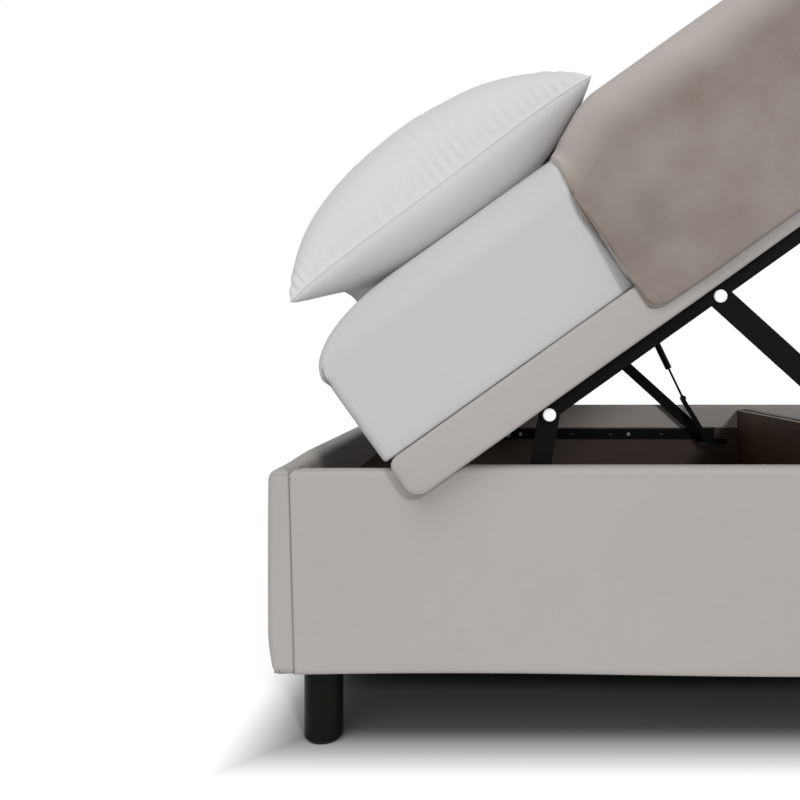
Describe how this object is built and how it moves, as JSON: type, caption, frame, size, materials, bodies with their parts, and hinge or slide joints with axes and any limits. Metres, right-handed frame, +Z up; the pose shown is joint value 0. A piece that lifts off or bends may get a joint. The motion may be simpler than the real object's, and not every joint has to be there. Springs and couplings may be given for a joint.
{
  "type": "upholstered storage bed",
  "caption": "Upholstered bed whose mattress platform lifts at the foot end over a lined storage box, with a lever and gas spring lift, mattress, pillows and a draped throw.",
  "frame": {"origin": "on the floor, under the middle of the storage box", "axes": "+X towards the foot end, +Y towards the left side of someone lying on the bed face up with the head at the head end, +Z up"},
  "size_m": [2.04, 1.6708, 1.8172],
  "materials": {
    "upholstery": "matte",
    "lining": "matte",
    "panel_board": "matte",
    "floor_board": "matte",
    "divider": "matte",
    "pine": "matte",
    "lift_steel": "satin",
    "frame_steel": "satin",
    "zinc": "satin",
    "rod_steel": "polished",
    "cap_plastic": "satin",
    "leg_plastic": "satin",
    "glide_rubber": "matte",
    "slat_birch": "satin",
    "holder_plastic": "matte",
    "mattress_cover": "matte",
    "pillow_cotton": "matte",
    "throw_velvet": "matte"
  },
  "bodies": {
    "bed_base": {"right_panel_board": "panel_board", "right_panel_cover": "upholstery", "right_lining": "lining", "left_panel_board": "panel_board", "left_panel_cover": "upholstery", "left_lining": "lining", "head_panel_board": "panel_board", "head_panel_cover": "upholstery", "head_lining": "lining", "head_floor_board": "floor_board", "foot_panel_board": "panel_board", "foot_panel_cover": "upholstery", "foot_lining": "lining", "foot_floor_board": "floor_board", "floor_battens": "pine", "divider_cleats": "pine", "divider_board": "divider", "divider_rail": "lift_steel", "corner_brackets": "zinc", "wall_bolts": "zinc", "head_right_leg": "leg_plastic", "foot_right_leg": "leg_plastic", "head_left_leg": "leg_plastic", "foot_left_leg": "leg_plastic", "centre_legs": "leg_plastic", "leg_plates": "zinc", "leg_glides": "glide_rubber", "right_base_rail": "lift_steel", "left_base_rail": "lift_steel", "right_spring_post": "lift_steel", "left_spring_post": "lift_steel", "base_pivot_pins": "zinc"},
    "front_levers": {"right_front_lever": "lift_steel", "left_front_lever": "lift_steel"},
    "platform": {"right_lift_rail": "lift_steel", "left_lift_rail": "lift_steel", "spring_brackets": "lift_steel", "right_side_rail_board": "panel_board", "left_side_rail_board": "panel_board", "right_side_rail_cover": "upholstery", "left_side_rail_cover": "upholstery", "head_end_rail": "upholstery", "foot_end_rail": "upholstery", "pivot_pins": "zinc", "pivot_caps": "cap_plastic", "deck_side_tubes": "frame_steel", "deck_cross_tubes": "frame_steel", "rail_outriggers": "frame_steel", "slats": "slat_birch", "slat_holders": "holder_plastic", "mattress": "mattress_cover", "right_pillow": "pillow_cotton", "left_pillow": "pillow_cotton", "throw": "throw_velvet"},
    "rear_levers": {"right_rear_lever": "lift_steel", "left_rear_lever": "lift_steel"},
    "gas_cylinders": {"right_gas_cylinder": "lift_steel", "left_gas_cylinder": "lift_steel"},
    "gas_rods": {"right_gas_rod": "rod_steel", "left_gas_rod": "rod_steel"}
  },
  "joints": [
    {"name": "lift", "type": "hinge", "parent": "bed_base", "child": "front_levers", "pos_m": [-0.6346, 0, 0.313], "axis": [0, -1, 0], "range_deg": [0, 72.08]},
    {"name": "platform_turn", "type": "hinge", "parent": "front_levers", "child": "platform", "pos_m": [-0.60447, 0, 0.48742], "axis": [0, -1, 0], "range_deg": [-107.52, 0]},
    {"name": "rear_lever_turn", "type": "hinge", "parent": "platform", "child": "rear_levers", "pos_m": [-0.34608, 0, 0.66691], "axis": [0, -1, 0], "range_deg": [0, 69.04]},
    {"name": "gas_spring_turn", "type": "hinge", "parent": "platform", "child": "gas_cylinders", "pos_m": [-0.18093, 0, 0.75513], "axis": [0, -1, 0], "range_deg": [0, 115.7]},
    {"name": "gas_spring_stroke", "type": "slide", "parent": "gas_cylinders", "child": "gas_rods", "axis": [-0.4328, 0, 0.9015], "range_m": [0, 0.07661]}
  ],
  "couplings": [
    {"joint": "platform_turn", "follows": "lift", "ratio": -1.4917},
    {"joint": "rear_lever_turn", "follows": "lift", "ratio": 0.9578},
    {"joint": "gas_spring_turn", "follows": "lift", "ratio": 1.6051},
    {"joint": "gas_spring_stroke", "follows": "lift", "m_per_rad": 0.060889}
  ]
}
